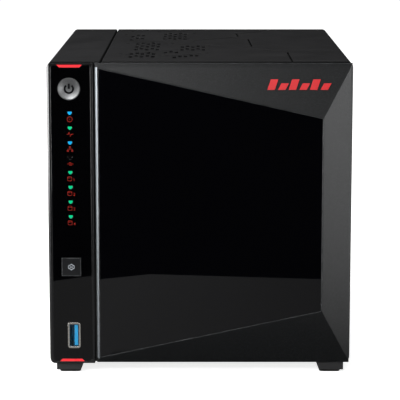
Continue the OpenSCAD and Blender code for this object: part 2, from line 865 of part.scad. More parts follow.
bearing_l = 4.5;
module fan_frame() {
  y1 = fan_y + fan_depth;
  color(jack_black) difference() {
    union() {
      difference() {
        along_y(fan_y, y1) translate([fan_x - fan_side / 2, fan_z - fan_side / 2])
          round_rect(fan_side, fan_side, 5);
        rod_y(fan_x, fan_z, fan_bore_r, fan_y - 1, y1 + 1);
      }
      rod_y(fan_x, fan_z, fan_hub_r, y1 - bearing_l, y1);
      for (a = [0, 90])
        translate([fan_x, y1 - 2, fan_z])
          rotate([0, a, 0])
            cube([2 * fan_bore_r + 1, 4, 5], center = true);
    }
    rod_y(fan_x, fan_z, fan_shaft_r + run_clear, y1 - bearing_l - 1, y1 + 1);
    for (x = [-1, 1], z = [-1, 1])
      rod_y(fan_x + x * fan_screw_pitch / 2, fan_z + z * fan_screw_pitch / 2, 2.15,
        fan_y - 1, y1 + 1);
  }
}

blade_l = 17;
module fan_rotor() {
  hub_y1 = fan_y + fan_depth - bearing_l - 0.6;
  hub_y0 = hub_y1 - blade_l;
  mid_y = (hub_y0 + hub_y1) / 2;
  color([0.16, 0.16, 0.17]) {
    difference() {
      rod_y(fan_x, fan_z, fan_hub_r, hub_y0, hub_y1);
      rod_y(fan_x, fan_z, fan_hub_r - 2, hub_y0 + 2, hub_y1 + 1);
    }
    rod_y(fan_x, fan_z, fan_shaft_r, hub_y0, hub_y1 + bearing_l);
    rod_y(fan_x, fan_z, 4, hub_y0, hub_y1 - 0.5);
    difference() {
      intersection() {
        rod_y(fan_x, fan_z, fan_bore_r - 1.2, hub_y0, hub_y1);
        for (i = [0:fan_blades - 1])
          translate([fan_x, mid_y, fan_z])
            rotate([0, i * 360 / fan_blades, 0])
              rotate([38, 0, 0])
                translate([fan_hub_r - 1, -0.8, -15])
                  cube([fan_bore_r, 1.6, 30]);
      }
      rod_y(fan_x, fan_z, fan_hub_r - 1, hub_y0 - 1, hub_y1 + 1);
    }
  }
}

// ---------- door ----------

// Takes away everything in front of a plane that stands along Z through [x, y], turned by
// angle about Z, or that lies along X through [y, z], turned by angle about X
far = 2 * max(case_w, case_h);

module cut_upright(x, y, angle) {
  translate([x, y, 0]) rotate([0, 0, angle]) translate([-far, -far, -far])
    cube([2 * far, far, 3 * far]);
}

module cut_level(y, z, angle) {
  translate([0, y, z]) rotate([angle, 0, 0]) translate([-far, -far, -far])
    cube([2 * far, far, 2 * far]);
}

right_angle = atan(door_rise / (ridge_x1 - peak_x));
high_angle = atan(door_rise / (ridge_z1 - peak_z1));
low_angle = atan(door_rise / (peak_z0 - ridge_z0));

// The four facets that rise from the ridge to the proud edge of the glass
module facet_cuts(back = 0) {
  cut_upright(ridge_x0, ridge_y + back, -glass_angle);
  cut_upright(ridge_x1, ridge_y + back, right_angle);
  cut_level(ridge_y + back, ridge_z1, -high_angle);
  cut_level(ridge_y + back, ridge_z0, low_angle);
}

// Faceted door solid. Points 0 to 3 are the back outline, 4 to 7 the end of the side
// walls, 8 to 11 the ridge, and 12 and 13 the ends of the proud edge of the glass.
function outline_points(x0, x1, z0, z1, y) = [[x0, y, z0], [x1, y, z0], [x1, y, z1], [x0, y, z1]];

module door_solid() {
  polyhedron(
    points = concat(
      outline_points(door_x0, door_x1, door_z0, door_z1, door_back_y),
      outline_points(door_x0, door_x1, door_z0, door_z1, side_y),
      outline_points(ridge_x0, ridge_x1, ridge_z0, ridge_z1, ridge_y),
      [[peak_x, front_y, peak_z0], [peak_x, front_y, peak_z1]]),
    faces = [
      [0, 1, 2, 3],
      [4, 5, 1, 0], [5, 6, 2, 1], [6, 7, 3, 2], [7, 4, 0, 3],
      [8, 9, 5, 4], [9, 10, 6, 5], [10, 11, 7, 6], [11, 8, 4, 7],
      [12, 9, 8], [12, 13, 10, 9], [13, 11, 10], [13, 12, 8, 11]]);
}

// Hollow behind the facets, open at the back, with the magnet bosses and two ribs left in
module door_hollow() {
  rim = 5;
  difference() {
    translate([door_x0 + rim, front_y, door_z0 + rim])
      cube([door_x1 - door_x0 - 2 * rim, door_back_y - front_y + 1, door_z1 - door_z0 - 2 * rim]);
    facet_cuts(door_wall);
    for (p = magnet_places)
      rod_y(p[0], p[1], magnet_d / 2 + 2, front_y - 1, door_back_y + 2);
    for (z = [0.3, 0.7])
      translate([door_x0, front_y - 1, door_z0 + z * (door_z1 - door_z0)])
        cube([door_x1 - door_x0, door_back_y - front_y + 3, 1.6]);
  }
}

// The four-sided glass, drawn in its own tilted plane with its left edge at the ridge;
// out is how far it stands out of that plane
module glass_solid(depth, out = 0) {
  rise_low = (peak_z0 - ridge_z0) / glass_w;
  rise_high = (peak_z1 - ridge_z1) / glass_w;
  m = glass_margin;
  e = glass_w - glass_margin;
  translate([ridge_x0, ridge_y, 0])
    rotate([0, 0, -glass_angle])
      translate([0, depth, 0])
        rotate([90, 0, 0])
          linear_extrude(depth + out)
            polygon([[m, ridge_z0 + rise_low * m + m], [e, ridge_z0 + rise_low * e + m],
              [e, ridge_z1 + rise_high * e - m], [m, ridge_z1 + rise_high * m - m]]);
}

// Bright strip that forms the bevel along the left side of the door; out widens it past
// the door's surface
module trim_solid(out = 0) {
  translate([0, 0, ridge_z0])
    linear_extrude(ridge_z1 - ridge_z0)
      polygon([[door_x0 - out, side_y + 0.6], [door_x0 - out, side_y - out],
        [ridge_x0, ridge_y - out], [ridge_x0, ridge_y + 1.2], [door_x0 + 1, side_y + 0.6]]);
}

module door_frame() {
  color(shell_grey) difference() {
    door_solid();
    door_hollow();
    for (p = magnet_places)
      rod_y(p[0], p[1], magnet_d / 2, door_back_y - door_magnet_t, door_back_y + 1);
    glass_solid(glass_t, 1);
    trim_solid(1);
  }
}

module door_panel() {
  color(gloss_black) glass_solid(glass_t);
}

module door_edge_trim() {
  color(steel_grey) trim_solid();
}

// Abstract mark of slanted bars on the upper facet
badge_x0 = peak_x - 32;
badge_h = 6;
badge_z = top_z - 15;
badge_t = 0.5;
module door_badge() {
  facet_l = (ridge_z1 - badge_z) / cos(high_angle);
  color(accent_red)
    translate([badge_x0, ridge_y, ridge_z1])
      rotate([-high_angle, 0, 0])
        translate([0, 0, -facet_l])
          for (i = [0:5])
            translate([i * 6, 0, 0])
              rotate([90, 0, 0])
                linear_extrude(badge_t)
                  polygon([[0, 0], [4.2, 0], [4.2 + badge_h / 3, badge_h * (i % 2 == 0 ? 1 : 0.62)],
                    [badge_h / 3, badge_h * (i % 2 == 0 ? 1 : 0.62)]]);
}

module door_magnets() {
  color(steel_grey) for (p = magnet_places)
    rod_y(p[0], p[1], magnet_d / 2, door_back_y - door_magnet_t, door_back_y);
}

// ---------- trays ----------

module tray(i) {
  x = bay_cx(i);
  back_y = face_y + face_d;
  tub_w = face_w - 2 * face_rim;
  color(bezel_black) difference() {
    union() {
      block_y(x, bay_z, face_w, face_h, face_y, back_y);
      for (side = [-1, 1])
        block_y(x, bay_z + side * (tray_h - arm_t) / 2, arm_w, arm_t, back_y, tray_back_y);
      for (side = [-1, 1])
        block_y(x, bay_z + side * (tray_h + rib_h) / 2, rib_w, rib_h, back_y, tray_back_y);
      block_y(x - arm_w / 2 + 1, bay_z, 2, tray_h - 2, back_y, tray_back_y);
    }
    block_y(x, bay_z, tub_w, face_h - 2 * face_rim, face_y - 1, face_y + tub_d);
    for (c = [-2:2])
      block_y(x + 4 * c, bay_z - 2, 2, 62, face_y, back_y + 1);
    rod_y(x, latch_z + latch_h / 2, stem_r + run_clear, face_y, back_y + 1);
    translate([x - face_w / 2 + 1, hinge_y, hinge_z]) rotate([0, 90, 0])
      cylinder(d = pin_d, h = face_w - 2);
    for (y = [0, 1])
      translate([x - arm_w / 2 - 1, back_y + 14 + 62 * y, bay_z - 34]) cube([4, 48, 68]);
  }
}

module tray_handle(i) {
  x = bay_cx(i);
  color(shell_grey) difference() {
    union() {
      translate([x - handle_w / 2, handle_front_y, hinge_z]) cube([handle_w, handle_t, handle_l]);
      translate([x - handle_w / 2, hinge_y, hinge_z]) rotate([0, 90, 0])
        cylinder(r = barrel_r, h = handle_w);
    }
    translate([x - handle_w / 2 - 1, hinge_y, hinge_z]) rotate([0, 90, 0])
      cylinder(r = pin_d / 2 + run_clear, h = handle_w + 2);
    for (c = [-2:2])
      block_y(x + 4 * c, hinge_z + 40, 2, 56, handle_front_y - 1, handle_front_y + handle_t + 1);
    translate([x - handle_w / 2 + 2, handle_front_y + 2, hinge_z + handle_l - 10])
      cube([handle_w - 4, handle_t, 8]);
  }
}

module tray_latch(i) {
  x = bay_cx(i);
  latch_t = tub_d - 0.5 - latch_travel - 0.3;
  color(accent_red) {
    translate([x - handle_w / 2, handle_front_y, latch_z]) cube([handle_w, latch_t, latch_h]);
    rod_y(x, latch_z + latch_h / 2, stem_r, handle_front_y + 1, face_y + face_d + 0.5);
  }
}

module handle_pin(i) {
  x = bay_cx(i);
  color(steel_grey)
    translate([x - face_w / 2 + 1, hinge_y, hinge_z]) rotate([0, 90, 0])
      cylinder(d = pin_d, h = face_w - 2);
}

left_shell();
right_shell();
base_plate();
drive_cage();
rear_panel();
rear_screws();
foot_brackets();
foot_pads();
front_bezel();
column_panel();
red_accents();
blue_led_lenses();
green_led_lenses();
unlit_led_lens();
front_usb_shell();
front_usb_tongue();
front_board();
front_switches();
bezel_magnets();
power_button();
backup_button();
main_board();
board_standoffs();
heatsink();
memory_module();
lan_jacks();
rear_usb_shells();
rear_usb_tongues();
hdmi_port();
dc_jack();
backplane();
drive_connectors();
fan_frame();
fan_rotor();
fan_screws();
door_frame();
door_panel();
door_edge_trim();
door_badge();
door_magnets();
tray(0);  // tray_1
tray(1);  // tray_2
tray(2);  // tray_3
tray(3);  // tray_4
tray_handle(0);  // tray_handle_1
tray_handle(1);  // tray_handle_2
tray_handle(2);  // tray_handle_3
tray_handle(3);  // tray_handle_4
tray_latch(0);  // tray_latch_1
tray_latch(1);  // tray_latch_2
tray_latch(2);  // tray_latch_3
tray_latch(3);  // tray_latch_4
handle_pin(0);  // handle_pin_1
handle_pin(1);  // handle_pin_2
handle_pin(2);  // handle_pin_3
handle_pin(3);  // handle_pin_4
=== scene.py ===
import math
import random

import bmesh
import bpy
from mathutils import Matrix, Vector


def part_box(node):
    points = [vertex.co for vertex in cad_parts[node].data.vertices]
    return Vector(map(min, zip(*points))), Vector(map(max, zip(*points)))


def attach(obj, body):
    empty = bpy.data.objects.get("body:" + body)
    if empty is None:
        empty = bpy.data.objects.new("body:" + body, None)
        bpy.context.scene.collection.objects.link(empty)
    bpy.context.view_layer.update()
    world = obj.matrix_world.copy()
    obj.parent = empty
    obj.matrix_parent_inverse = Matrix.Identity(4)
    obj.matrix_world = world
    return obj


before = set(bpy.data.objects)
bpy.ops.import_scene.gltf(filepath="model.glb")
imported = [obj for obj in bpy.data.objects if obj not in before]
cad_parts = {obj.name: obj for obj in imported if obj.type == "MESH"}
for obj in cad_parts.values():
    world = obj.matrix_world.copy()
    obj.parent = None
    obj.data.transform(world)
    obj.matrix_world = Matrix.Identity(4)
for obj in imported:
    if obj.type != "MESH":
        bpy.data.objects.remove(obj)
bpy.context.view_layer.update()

# The studio: a pale table, a white backdrop and five soft boxes. The room is dark in front of the
# door, so gloss is black there, with the near part of the table mirrored low down as a painted
# reflection; the table also carries a painted shadow beside the door and a bright painted sheen
# off to the right, both seen only by glossy rays.
scene = bpy.context.scene
scene.view_settings.view_transform = "Standard"
camera = bpy.data.objects.new("camera", bpy.data.cameras.new("camera"))
scene.collection.objects.link(camera)
camera.location = (0, -1.101, 0.285)
camera.rotation_euler = (math.radians(90 - 9.25), 0, 0)
camera.data.sensor_width = 36
camera.data.lens = 159
camera.data.shift_y = -0.09
scene.camera = camera

TABLE_SIZE = 6.0
TABLE_GAP = 0.0001
TABLE_SHADOW_X = -0.059
TABLE_SHADOW_Y = -0.160
TABLE_EDGE_Y = -0.366
TABLE_PAINTED_SHEEN = 0.34
TABLE_SLANT = 0.025
SHADOW_BLUR = 0.02
SIDE_START_X = 0.08
SIDE_RAMP = 0.4
SIDE_PAINTED_SHEEN = 3.2
TABLE_GLOW = 0.8
ROOM_FILL = 0.35


def add_node(tree, kind, settings=None, sockets=None):
    """One node, with its settings, and each socket given a value or a link."""
    node = tree.nodes.new("ShaderNode" + kind)
    for key, value in (settings or {}).items():
        setattr(node, key, value)
    for key, value in (sockets or {}).items():
        if isinstance(value, bpy.types.NodeSocket):
            tree.links.new(value, node.inputs[key])
        else:
            node.inputs[key].default_value = value
    return node


def combine(tree, operation, first, second):
    """One sum on two values; either may be a socket."""
    return add_node(tree, "Math", {"operation": operation}, {0: first, 1: second}).outputs[0]


def level(tree, source, low, high, start=0.0, end=1.0):
    """A value moved from start..end to low..high; each of them may be a socket."""
    return add_node(tree, "MapRange", None, {
        "Value": source, "From Min": start, "From Max": end,
        "To Min": low, "To Max": high}).outputs[0]


world = bpy.data.worlds.new("room")
scene.world = world
world.use_nodes = True
room = world.node_tree
room.nodes.clear()
rays = add_node(room, "LightPath")
seen = add_node(room, "Mix", {"data_type": "RGBA"}, {
    0: rays.outputs["Is Glossy Ray"], 6: (ROOM_FILL, ROOM_FILL, ROOM_FILL, 1), 7: (0, 0, 0, 1)})
backdrop = add_node(room, "Mix", {"data_type": "RGBA"}, {
    0: rays.outputs["Is Camera Ray"], 6: seen.outputs[2], 7: (1, 1, 1, 1)})
sky = add_node(room, "Background", None, {"Color": backdrop.outputs[2]})
add_node(room, "OutputWorld", None, {"Surface": sky.outputs[0]})


def mesh_piece(name, build, material, body):
    """A piece whose mesh the function build makes in a bmesh, riding on a body of the frame."""
    shape = bmesh.new()
    build(shape)
    bmesh.ops.recalc_face_normals(shape, faces=shape.faces)
    mesh = bpy.data.meshes.new(name)
    shape.to_mesh(mesh)
    shape.free()
    piece = bpy.data.objects.new(name, mesh)
    scene.collection.objects.link(piece)
    mesh.materials.append(material)
    if body:
        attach(piece, body)
    return piece


table_paint = bpy.data.materials.new("table_paint")
table_paint.use_nodes = True
paint = table_paint.node_tree
paint.nodes.clear()
place = add_node(paint, "TexCoord")
across = add_node(paint, "SeparateXYZ", None, {0: place.outputs["Object"]})
table_x, table_y = across.outputs["X"], across.outputs["Y"]
# Painted reflection, seen only by glossy rays: a band of emission on the table in front of the door
# that fades to the right, and a bright painted sheen off to the right.
slanted_edge = level(paint, table_x, TABLE_EDGE_Y + TABLE_SLANT, TABLE_EDGE_Y, -0.109, -0.07)
before_edge = combine(paint, "GREATER_THAN", table_y, slanted_edge)
# Painted shadow: the painted reflection stops near the door, where the object's own shadow would
# fall, but not to the left of the door.
past_shadow = level(paint, table_y, 1.0, 0.0, TABLE_SHADOW_Y, TABLE_SHADOW_Y + SHADOW_BLUR)
left_of_door = combine(paint, "LESS_THAN", table_x, TABLE_SHADOW_X)
past_door = combine(paint, "MAXIMUM", past_shadow, left_of_door)
fading = level(paint, table_x, TABLE_PAINTED_SHEEN, TABLE_PAINTED_SHEEN * 0.5, -0.08, 0.12)
in_front = combine(paint, "MULTIPLY", before_edge, past_door)
painted_front_sheen = combine(paint, "MULTIPLY", in_front, fading)
beside = level(paint, table_x, 0.0, SIDE_PAINTED_SHEEN, SIDE_START_X, SIDE_START_X + SIDE_RAMP)
painted_sheen = combine(paint, "ADD", painted_front_sheen, beside)
painted_reflection = add_node(paint, "Emission", None, {"Strength": painted_sheen})
speckle = add_node(paint, "TexNoise", None, {
    "Vector": place.outputs["Object"], "Scale": 900.0, "Detail": 4.0})
tone = level(paint, speckle.outputs["Fac"], 0.84, 0.88)
matt = add_node(paint, "BsdfDiffuse", None, {"Color": tone})
path = add_node(paint, "LightPath")
lift = combine(paint, "MULTIPLY", path.outputs["Is Camera Ray"], TABLE_GLOW)
glow = add_node(paint, "Emission", None, {"Strength": lift})
lit = add_node(paint, "AddShader", None, {0: matt.outputs[0], 1: glow.outputs[0]})
table_look = add_node(paint, "MixShader", None, {
    0: path.outputs["Is Glossy Ray"], 1: lit.outputs[0], 2: painted_reflection.outputs[0]})
add_node(paint, "OutputMaterial", None, {"Surface": table_look.outputs[0]})


def table_top(shape):
    bmesh.ops.create_grid(shape, x_segments=8, y_segments=8, size=TABLE_SIZE / 2)


table = mesh_piece("table", table_top, table_paint, None)
table.location.z = -TABLE_GAP


def soft_box(name, place, aim, width, height, power):
    light = bpy.data.lights.new(name, "AREA")
    light.shape = "RECTANGLE"
    light.size = width
    light.size_y = height
    light.energy = power
    lamp = bpy.data.objects.new(name, light)
    scene.collection.objects.link(lamp)
    lamp.location = place
    lamp.rotation_euler = (Vector(aim) - Vector(place)).to_track_quat("-Z", "Y").to_euler()
    lamp.visible_camera = False
    return lamp


soft_box("box_above", (-0.5, 0.1, 1.45), (0, 0.02, 0.1), 1.6, 1.4, 17)
soft_box("box_front", (-0.50, -1.25, 0.76), (0, -0.1, 0.12), 0.9, 0.35, 9.0)
soft_box("box_left", (-0.95, -0.62, 0.36), (-0.08, -0.11, 0.12), 0.55, 0.75, 8)
edge_box = soft_box("box_edge", (-0.5, -0.13, 0.17), (-0.087, -0.107, 0.12), 0.3, 0.28, 3.2)
edge_box.visible_diffuse = False
right_box = soft_box("box_right", (1.1, -0.82, 0.42), (0.08, -0.11, 0.1), 0.8, 0.8, 15)
right_box.visible_diffuse = False

# Feet: stiff plastic brackets under the steel floor plate with soft pads below them. The floor
# plate is zinc coated sheet, pressed and folded, and everything else is fixed to it.


def node_group(name, inputs, outputs):
    """An empty node group with named sockets: its tree, its input node and its output node."""
    tree = bpy.data.node_groups.new(name, "ShaderNodeTree")
    kinds = {"colour": "NodeSocketColor", "value": "NodeSocketFloat", "vector": "NodeSocketVector"}
    for direction, sockets in (("INPUT", inputs), ("OUTPUT", outputs)):
        for label, kind in sockets.items():
            tree.interface.new_socket(label, in_out=direction, socket_type=kinds[kind])
    return tree, tree.nodes.new("NodeGroupInput"), tree.nodes.new("NodeGroupOutput")


def blend_colour(tree, mask, first, second):
    mixed = add_node(tree, "Mix", {"data_type": "RGBA"}, {0: mask, 6: first, 7: second})
    return mixed.outputs[2]


def drifting(tree, source, centre, drift):
    """A value that wanders round centre by up to drift, as source does."""
    low = combine(tree, "SUBTRACT", centre, drift)
    high = combine(tree, "ADD", centre, drift)
    return level(tree, source, low, high, 0.3, 0.7)


# Fine grain: the dimpled skin of paint or a spark-eroded mould, with slow drifts of tone.
grain_tree, grain_in, grain_out = node_group(
    "skin_grain",
    {"Colour": "colour", "Tone Drift": "value", "Roughness": "value", "Gloss Drift": "value",
     "Grains per Metre": "value"},
    {"Colour": "colour", "Roughness": "value", "Height": "value"})
grain_at = add_node(grain_tree, "TexCoord")
dimples = add_node(grain_tree, "TexNoise", None, {
    "Vector": grain_at.outputs["Object"], "Scale": grain_in.outputs["Grains per Metre"],
    "Detail": 3.0, "Roughness": 0.6})
clouds = add_node(grain_tree, "TexNoise", None, {
    "Vector": grain_at.outputs["Object"], "Scale": 22.0, "Detail": 5.0, "Roughness": 0.65})
tone_here = drifting(grain_tree, clouds.outputs["Fac"], 1.0, grain_in.outputs["Tone Drift"])
tinted = add_node(grain_tree, "VectorMath", {"operation": "SCALE"}, {
    0: grain_in.outputs["Colour"], "Scale": tone_here})
gloss_here = drifting(grain_tree, clouds.outputs["Fac"], grain_in.outputs["Roughness"],
                      grain_in.outputs["Gloss Drift"])
grain_tree.links.new(tinted.outputs[0], grain_out.inputs["Colour"])
grain_tree.links.new(gloss_here, grain_out.inputs["Roughness"])
grain_tree.links.new(dimples.outputs["Fac"], grain_out.inputs["Height"])

# Rubbed edges: corners are slightly round, and the high line of each is polished by handling.
# The lighter edge colour is real wear on most finishes and a painted highlight on the door frame
# and the backup button.
edge_tree, edge_in, edge_out = node_group(
    "rubbed_edges_and_painted_highlights", {"Radius": "value", "Wear and Highlight": "value"}, {"Edge": "value", "Normal": "vector"})
rounded = add_node(edge_tree, "Bevel", {"samples": 4}, {"Radius": edge_in.outputs["Radius"]})
flat = add_node(edge_tree, "NewGeometry")
turn = add_node(edge_tree, "VectorMath", {"operation": "DOT_PRODUCT"}, {
    0: rounded.outputs[0], 1: flat.outputs["Normal"]})
bent = level(edge_tree, turn.outputs["Value"], 1.0, 0.0, 0.75, 0.985)
edge_at = add_node(edge_tree, "TexCoord")
scuffs = add_node(edge_tree, "TexNoise", None, {
    "Vector": edge_at.outputs["Object"], "Scale": 160.0, "Detail": 6.0, "Roughness": 0.7})
scuffed = level(edge_tree, scuffs.outputs["Fac"], 0.25, 1.0, 0.4, 0.6)
edge_mark = combine(edge_tree, "MULTIPLY", bent, scuffed)
edge_wear_and_highlight = combine(edge_tree, "MULTIPLY", edge_mark, edge_in.outputs["Wear and Highlight"])
edge_tree.links.new(edge_wear_and_highlight, edge_out.inputs["Edge"])
edge_tree.links.new(rounded.outputs[0], edge_out.inputs["Normal"])


def place_group(tree, group, values):
    return add_node(tree, "Group", {"node_tree": group}, values)


def base_material(name, metallic=0.0, ior=1.5):
    """A material with one main shader: its tree and that shader."""
    material = bpy.data.materials.new(name)
    material.use_nodes = True
    tree = material.node_tree
    shader = tree.nodes["Principled BSDF"]
    shader.inputs["Metallic"].default_value = metallic
    shader.inputs["IOR"].default_value = ior
    return material, tree, shader


def grained(name, colour, rough, metallic=0.0, grains=2500.0, depth=0.00003, drift=0.06,
            gloss_drift=0.04, edge=0.0, wear_and_highlight=0.0, wear_and_highlight_colour=(0.4, 0.4, 0.4), ior=1.5):
    """A painted or moulded finish: grain over the whole face and, if asked, rubbed edges in a
    lighter colour, which on some finishes is a painted highlight.
    """
    material, tree, shader = base_material(name, metallic, ior=ior)
    skin = place_group(tree, grain_tree, {
        "Colour": (*colour, 1), "Tone Drift": drift, "Roughness": rough,
        "Gloss Drift": gloss_drift, "Grains per Metre": grains})
    bump = add_node(tree, "Bump", None, {
        "Height": skin.outputs["Height"], "Distance": depth, "Strength": 1.0})
    tree.links.new(skin.outputs["Roughness"], shader.inputs["Roughness"])
    tree.links.new(bump.outputs[0], shader.inputs["Normal"])
    if edge:
        rim = place_group(tree, edge_tree, {"Radius": edge, "Wear and Highlight": wear_and_highlight})
        tree.links.new(rim.outputs["Normal"], bump.inputs["Normal"])
        tinted_rim = blend_colour(tree, rim.outputs["Edge"], skin.outputs["Colour"],
                                  (*wear_and_highlight_colour, 1))
        tree.links.new(tinted_rim, shader.inputs["Base Color"])
    else:
        tree.links.new(skin.outputs["Colour"], shader.inputs["Base Color"])
    return material


def dress(material, *names):
    """Gives CAD nodes their finish."""
    for name in names:
        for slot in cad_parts[name].material_slots:
            slot.material = material


zinc_steel = grained("zinc_steel", (0.46, 0.47, 0.48), 0.42, metallic=1.0, grains=420.0,
                     depth=0.00001, drift=0.16, gloss_drift=0.12)
foot_plastic = grained("foot_plastic", (0.012, 0.012, 0.013), 0.55, edge=0.0004)
foot_rubber = grained("foot_rubber", (0.010, 0.010, 0.010), 0.85, grains=1800.0, depth=0.00008)
dress(zinc_steel, "base_plate")
dress(foot_plastic, "foot_brackets")
dress(foot_rubber, "foot_pads")

# Drive cage: two folded plates of the same zinc coated sheet, riveted round four bays, with rolled
# guide ribs that the trays slide on. It is fixed to the floor plate.
cage_steel = grained("cage_steel", (0.42, 0.43, 0.44), 0.38, metallic=1.0, grains=300.0,
                     depth=0.00001, drift=0.2, gloss_drift=0.14)
dress(cage_steel, "drive_cage")

# Main board: fibreglass laminate with a green solder mask over copper tracks, on brass standoffs
# along the left wall. The processor is under an anodised heatsink beside the memory module.
track_tree, track_in, track_out = node_group(
    "solder_mask", {"Mask": "colour", "Copper": "colour"}, {"Colour": "colour", "Height": "value"})
track_at = add_node(track_tree, "TexCoord")
cells = add_node(track_tree, "TexVoronoi", {"distance": "MANHATTAN", "feature": "F1"}, {
    "Vector": track_at.outputs["Object"], "Scale": 330.0})
lines = add_node(track_tree, "TexWave", {"wave_type": "BANDS", "bands_direction": "DIAGONAL"}, {
    "Vector": cells.outputs["Position"], "Scale": 60.0, "Distortion": 2.0})
tracks = level(track_tree, lines.outputs["Fac"], 0.0, 1.0, 0.45, 0.6)
pads = level(track_tree, cells.outputs["Distance"], 1.0, 0.0, 0.05, 0.12)
covered = blend_colour(track_tree, tracks, track_in.outputs["Mask"], (0.012, 0.085, 0.045, 1))
board_look = blend_colour(track_tree, pads, covered, track_in.outputs["Copper"])
track_tree.links.new(board_look, track_out.inputs["Colour"])
track_tree.links.new(tracks, track_out.inputs["Height"])


def circuit_board(name, mask):
    material, tree, shader = base_material(name)
    laminate = place_group(tree, track_tree, {"Mask": (*mask, 1), "Copper": (0.62, 0.5, 0.25, 1)})
    bump = add_node(tree, "Bump", None, {
        "Height": laminate.outputs["Height"], "Distance": 0.00004})
    tree.links.new(laminate.outputs["Colour"], shader.inputs["Base Color"])
    tree.links.new(bump.outputs[0], shader.inputs["Normal"])
    shader.inputs["Roughness"].default_value = 0.35
    return material


board_laminate = circuit_board("board_laminate", (0.008, 0.055, 0.03))
brass = grained("brass", (0.72, 0.5, 0.2), 0.3, metallic=1.0, grains=900.0, depth=0.000005)
anodised = grained("anodised", (0.02, 0.02, 0.022), 0.4, metallic=0.6, grains=1500.0)
dress(board_laminate, "main_board", "memory_module", "backplane", "front_board")
dress(brass, "board_standoffs")
dress(anodised, "heatsink")

PACKAGE_COUNT = 26
PACKAGE_HALVES = [(0.005, 0.005), (0.0035, 0.0045), (0.002, 0.003), (0.0015, 0.001)]
PACKAGE_HEIGHT = 0.0012
PACKAGE_SINK = 0.0001
PACKAGE_CHAMFER = 0.0001
PACKAGE_GAP = 0.001
PART_GAP = 0.002
BOARD_RIM = 0.008
SOCKET_ROOM = 0.035


def chamfered_block(shape, low, high, chamfer):
    """A moulded package: a box from low to high with all its edges chamfered."""
    made = bmesh.ops.create_cube(shape, size=1.0)["verts"]
    size = Vector(high) - Vector(low)
    bmesh.ops.scale(shape, vec=size, verts=made)
    bmesh.ops.translate(shape, vec=(Vector(high) + Vector(low)) / 2, verts=made)
    edges = list({edge for vert in made for edge in vert.link_edges})
    bmesh.ops.bevel(shape, geom=edges, offset=chamfer, segments=1, affect="EDGES")


board_low, board_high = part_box("main_board")
sink_low, sink_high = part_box("heatsink")
stick_low, stick_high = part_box("memory_module")
chips = random.Random(7)


def clear_of(y, z, half_y, half_z):
    """Whether a package at y, z keeps off the heatsink, the memory and the sockets."""
    for low, high in ((sink_low, sink_high), (stick_low, stick_high)):
        if (low.y - half_y < y < high.y + half_y) and (low.z - half_z < z < high.z + half_z):
            return False
    return y < board_high.y - SOCKET_ROOM


def board_packages(shape):
    placed = []
    while len(placed) < PACKAGE_COUNT:
        half_y, half_z = chips.choice(PACKAGE_HALVES)
        y = chips.uniform(board_low.y + BOARD_RIM, board_high.y - SOCKET_ROOM - PACKAGE_GAP)
        z = chips.uniform(board_low.z + BOARD_RIM, board_high.z - BOARD_RIM)
        near = any(abs(y - other_y) < half_y + other_half_y + PACKAGE_GAP
                   and abs(z - other_z) < half_z + other_half_z + PACKAGE_GAP
                   for other_y, other_z, other_half_y, other_half_z in placed)
        if near or not clear_of(y, z, half_y + PART_GAP, half_z + PART_GAP):
            continue
        placed.append((y, z, half_y, half_z))
        chamfered_block(shape, (board_face - PACKAGE_SINK, y - half_y, z - half_z),
                        (board_face + PACKAGE_HEIGHT, y + half_y, z + half_z), PACKAGE_CHAMFER)


board_face = sink_low.x
package_black = grained("package_black", (0.012, 0.012, 0.013), 0.5, grains=3000.0)
mesh_piece("board_packages", board_packages, package_black, "case")

# Sockets: plated steel cans and black nylon bodies on the main board's back edge, with blue
# tongues in the fast serial ports, and the drive connectors on the backplane.
can_steel = grained("can_steel", (0.66, 0.64, 0.6), 0.28, metallic=1.0, grains=1200.0,
                    depth=0.000004, edge=0.0002, wear_and_highlight=0.3, wear_and_highlight_colour=(0.85, 0.84, 0.82))
nylon_black = grained("nylon_black", (0.014, 0.014, 0.015), 0.5, grains=1600.0)
tongue_blue = grained("tongue_blue", (0.008, 0.24, 0.48), 0.35, grains=1800.0, depth=0.00001)
dress(can_steel, "lan_jacks", "rear_usb_shells", "hdmi_port", "front_usb_shell")
dress(nylon_black, "dc_jack", "drive_connectors", "front_switches")
dress(tongue_blue, "rear_usb_tongues", "front_usb_tongue")

CONTACT_HALF = 0.0004
CONTACT_THICK = 0.00015
CONTACT_START = 0.0008
CONTACT_END = 0.008
CONTACT_SPOTS = (-0.0042, -0.0021, 0.0, 0.0021, 0.0042)
TONGUE_FACE = 0.00015


def middle(node):
    low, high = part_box(node)
    return (low + high) / 2


def usb_contacts(shape):
    low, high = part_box("front_usb_tongue")
    face = middle("front_usb_tongue").x + TONGUE_FACE
    for up in CONTACT_SPOTS:
        z = middle("front_usb_tongue").z + up
        chamfered_block(shape, (face - CONTACT_THICK, low.y + CONTACT_START, z - CONTACT_HALF),
                        (face + CONTACT_THICK, low.y + CONTACT_END, z + CONTACT_HALF), 0.00004)


contact_gold = grained("contact_gold", (0.78, 0.58, 0.28), 0.25, metallic=1.0, grains=1500.0,
                       depth=0.000002)
mesh_piece("front_usb_contacts", usb_contacts, contact_gold, "case")

# Rear panel: sheet steel in fine black powder paint, with the round grille cut in it and the fan
# behind. Zinc plated screws hold the panel to the shells and the fan to the panel.
powder_black = grained("powder_black", (0.022, 0.022, 0.024), 0.48, grains=1500.0, depth=0.00006,
                       edge=0.0004, wear_and_highlight=0.35, wear_and_highlight_colour=(0.16, 0.16, 0.17))
screw_zinc = grained("screw_zinc", (0.55, 0.56, 0.58), 0.32, metallic=1.0, grains=700.0,
                     depth=0.000005)
fan_plastic = grained("fan_plastic", (0.013, 0.013, 0.014), 0.42, grains=1300.0, edge=0.0004)
rotor_plastic = grained("rotor_plastic", (0.02, 0.02, 0.021), 0.36, grains=1300.0)
dress(powder_black, "rear_panel")
dress(screw_zinc, "rear_screws", "fan_screws")
dress(fan_plastic, "fan_frame")
dress(rotor_plastic, "fan_rotor")

